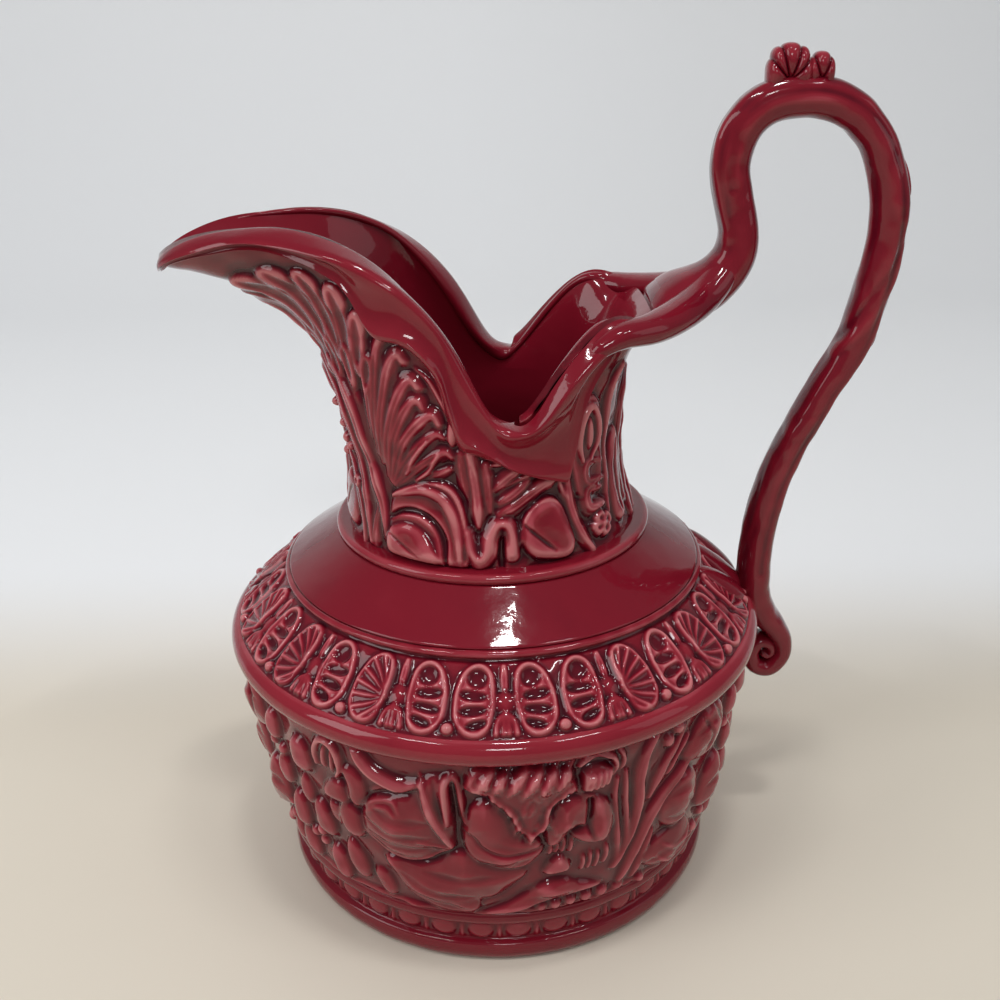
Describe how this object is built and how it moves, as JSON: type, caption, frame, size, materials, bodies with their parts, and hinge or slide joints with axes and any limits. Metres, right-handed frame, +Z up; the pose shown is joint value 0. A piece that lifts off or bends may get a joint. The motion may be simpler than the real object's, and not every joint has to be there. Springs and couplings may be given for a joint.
{
  "type": "oinochoe wine jug",
  "caption": "Footed pottery wine jug with a long open spout, turned-over lip, high looped handle, moulded belly frieze, palmette shoulder and glossy oxblood glaze.",
  "frame": {"origin": "centre of the foot ring on the standing plane", "axes": "+Z up through the neck; -X towards the pouring spout; +X towards the handle"},
  "size_m": [0.26, 0.2026, 0.3029],
  "materials": {
    "oxblood_glaze": "thick glossy deep red glaze, pooled nearly black in the hollows and broken to pink on the edges",
    "bare_clay": "thin glaze over fired clay on the floor of the jug"
  },
  "bodies": {
    "root": {"foot_ring": "oxblood_glaze", "floor_disc": "bare_clay", "foot_eggs": "oxblood_glaze", "foot_darts": "oxblood_glaze", "belly_wall": "oxblood_glaze", "belt_roll": "oxblood_glaze", "shoulder_shell": "oxblood_glaze", "shoulder_ridge": "oxblood_glaze", "shoulder_band": "oxblood_glaze", "neck_ring": "oxblood_glaze", "neck_wall": "oxblood_glaze", "mouth_wall": "oxblood_glaze", "pouring_spout": "oxblood_glaze", "lip_collar_right": "oxblood_glaze", "lip_collar_left": "oxblood_glaze", "handle_strap": "oxblood_glaze", "handle_tail": "oxblood_glaze", "handle_shells": "oxblood_glaze", "handle_twigs": "oxblood_glaze", "handle_root_leaves": "oxblood_glaze", "handle_drop_leaf": "oxblood_glaze", "shoulder_palmettes": "oxblood_glaze", "shoulder_beads": "oxblood_glaze", "frieze_figures": "oxblood_glaze", "frieze_drapery": "oxblood_glaze", "frieze_fleece": "oxblood_glaze", "frieze_horns": "oxblood_glaze", "frieze_fruit": "oxblood_glaze", "frieze_reeds": "oxblood_glaze", "frieze_vine_leaves": "oxblood_glaze", "frieze_grapes": "oxblood_glaze", "frieze_rocks": "oxblood_glaze", "neck_scrolls": "oxblood_glaze", "neck_acanthus": "oxblood_glaze", "neck_cartouches": "oxblood_glaze", "neck_rosettes": "oxblood_glaze", "spout_petals": "oxblood_glaze"}
  },
  "joints": []
}
